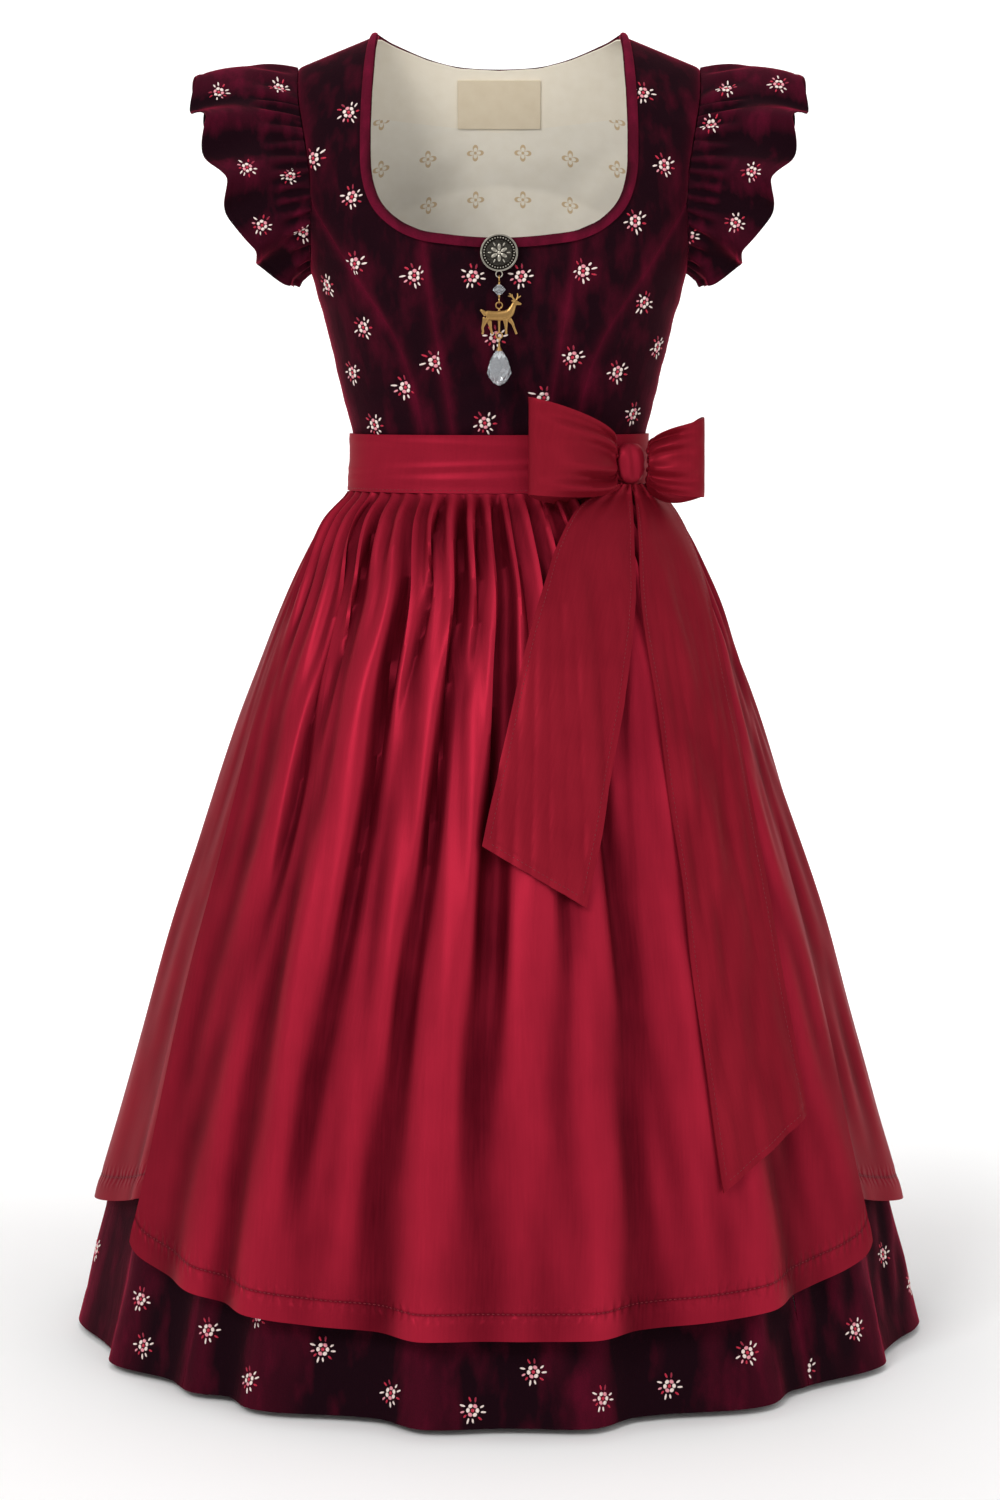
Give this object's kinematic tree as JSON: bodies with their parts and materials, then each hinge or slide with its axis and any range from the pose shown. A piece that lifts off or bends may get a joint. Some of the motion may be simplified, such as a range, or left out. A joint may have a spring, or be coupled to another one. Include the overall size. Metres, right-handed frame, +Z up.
{
  "type": "dirndl",
  "caption": "Dirndl filled out as worn: velvet bodice with ruffle sleeves, satin apron tied in a bow over two skirt layers, stag pendant.",
  "frame": {"origin": "midway between the shoulders, at the height where the straps bear on the wearer", "axes": "+Z up, the front faces -Y, +X towards the viewer's right"},
  "size_m": [0.7816, 0.6765, 1.2011],
  "materials": {
    "velvet": "cotton velvet, deep bordeaux",
    "satin": "heavy satin, wine red",
    "lining": "woven lining, off-white with a small motif",
    "facing": "woven facing, cream",
    "label": "woven label, plain",
    "binding": "self bias binding",
    "silver": "antique silver plate",
    "gold": "antique gold plate",
    "crystal": "cut glass"
  },
  "bodies": {
    "dress": {"bodice_front_center": "velvet", "bodice_front_left": "velvet", "bodice_side_front_left": "velvet", "bodice_side_back_left": "velvet", "bodice_back_left": "velvet", "sleeve_ruffle_left": "velvet", "bodice_front_right": "velvet", "bodice_side_front_right": "velvet", "bodice_side_back_right": "velvet", "bodice_back_right": "velvet", "sleeve_ruffle_right": "velvet", "velvet_skirt_front": "velvet", "velvet_skirt_left": "velvet", "velvet_skirt_right": "velvet", "velvet_skirt_back": "velvet", "lining_back": "lining", "facing_back": "facing", "neck_label": "label", "neck_binding": "binding", "waistband": "satin", "satin_side_left": "satin", "satin_side_right": "satin", "satin_back": "satin", "apron": "satin", "bow_knot": "satin", "bow_loop_left": "satin", "bow_loop_right": "satin", "bow_tail_short": "satin", "bow_tail_long": "satin", "pendant_coin": "silver"},
    "bead": {"pendant_bead": "crystal"},
    "charm": {"pendant_stag": "gold"},
    "drop": {"pendant_drop": "crystal"}
  },
  "joints": [
    {"name": "bead_swing", "type": "hinge", "parent": "dress", "child": "bead", "pos_m": [0, -0.116, -0.2145], "axis": [0, 1, 0], "range_deg": [-15, 15]},
    {"name": "charm_swing", "type": "hinge", "parent": "bead", "child": "charm", "pos_m": [0, -0.116, -0.2384], "axis": [-1, 0, 0], "range_deg": [-2, 50]},
    {"name": "drop_swing", "type": "hinge", "parent": "charm", "child": "drop", "pos_m": [0, -0.116, -0.2697], "axis": [0, 1, 0], "range_deg": [-20, 20]}
  ]
}
